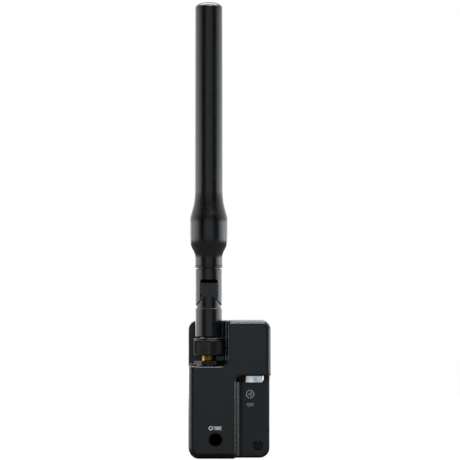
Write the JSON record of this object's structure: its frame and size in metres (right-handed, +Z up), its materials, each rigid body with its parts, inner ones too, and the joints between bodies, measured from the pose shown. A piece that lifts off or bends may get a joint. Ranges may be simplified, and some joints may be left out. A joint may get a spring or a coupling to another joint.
{
  "type": "wireless receiver unit",
  "caption": "Pocket wireless receiver: stepped black case with a tripod thread, a data port recess and a knurled, screw-on antenna that swivels and tilts.",
  "frame": {"origin": "centre of the base of the bounding box, on the surface the case stands on", "axes": "+Z up along the antenna, +X to the right seen from the threaded side, -Y out of the face with the tripod thread, +Y out of the plain front face"},
  "size_m": [0.034, 0.023, 0.1905],
  "materials": {
    "case_plastic": "fine satin texture, charcoal black",
    "black_screw": "black oxide",
    "insert_brass": "plain turned brass",
    "circuit_board": "green solder mask",
    "chip_plastic": "moulded black",
    "tin_shield": "tinned sheet",
    "port_steel": "bright nickel on steel",
    "light_window": "translucent milky",
    "cell_wrap": "silvery film",
    "foam": "closed-cell foam",
    "gold_plate": "gold plated",
    "white_insulator": "white fluoropolymer",
    "nickel": "black nickel plate",
    "lead_jacket": "thin black jacket",
    "knurl_plastic": "black, fine knurl",
    "antenna_plastic": "satin black",
    "pin_steel": "plain steel",
    "button_rubber": "soft black"
  },
  "bodies": {
    "case": {"back_shell": "case_plastic", "front_shell": "case_plastic", "case_screws": "black_screw", "thread_insert": "black_screw", "main_board": "circuit_board", "board_screws": "black_screw", "board_chips": "chip_plastic", "radio_can": "tin_shield", "port_board": "circuit_board", "board_link": "chip_plastic", "usb_shell": "port_steel", "usb_tongue": "chip_plastic", "pair_switch": "chip_plastic", "power_switch": "chip_plastic", "status_led": "light_window", "light_pipe": "light_window", "battery_cell": "cell_wrap", "battery_pad": "foam", "antenna_jack": "gold_plate", "jack_dielectric": "white_insulator", "jack_contact": "gold_plate", "jack_washer": "nickel", "jack_nut": "nickel", "jack_lead": "lead_jacket"},
    "nut": {"coupling_nut": "knurl_plastic"},
    "antenna_foot": {"antenna_base": "antenna_plastic", "base_ferrule": "nickel", "contact_pin": "gold_plate"},
    "antenna_arm": {"hinge_fork": "antenna_plastic", "hinge_pin": "pin_steel", "radome": "antenna_plastic", "feed_coax": "lead_jacket", "radiator_sleeve": "insert_brass", "radiator_whip": "insert_brass", "radiator_spacers": "foam"},
    "pair_key": {"pair_button": "button_rubber"},
    "power_key": {"power_button": "button_rubber"}
  },
  "joints": [
    {"name": "nut_turn", "type": "hinge", "parent": "case", "child": "nut", "pos_m": [-0.00865, -0.0035, 0.0463], "axis": [0, 0, 1], "range_deg": [0, 90]},
    {"name": "antenna_swivel", "type": "hinge", "parent": "case", "child": "antenna_foot", "pos_m": [-0.00865, -0.0035, 0.0525], "axis": [0, 0, 1], "range_deg": [-180, 180]},
    {"name": "antenna_tilt", "type": "hinge", "parent": "antenna_foot", "child": "antenna_arm", "pos_m": [-0.00865, -0.0035, 0.0687], "axis": [-1, 0, 0], "range_deg": [0, 90]},
    {"name": "pair_press", "type": "slide", "parent": "case", "child": "pair_key", "axis": [0, 0, 1], "range_m": [0, 0.00035], "stiffness_N_per_m": 800},
    {"name": "power_press", "type": "slide", "parent": "case", "child": "power_key", "axis": [0, -1, 0], "range_m": [0, 0.00035], "stiffness_N_per_m": 1200}
  ]
}
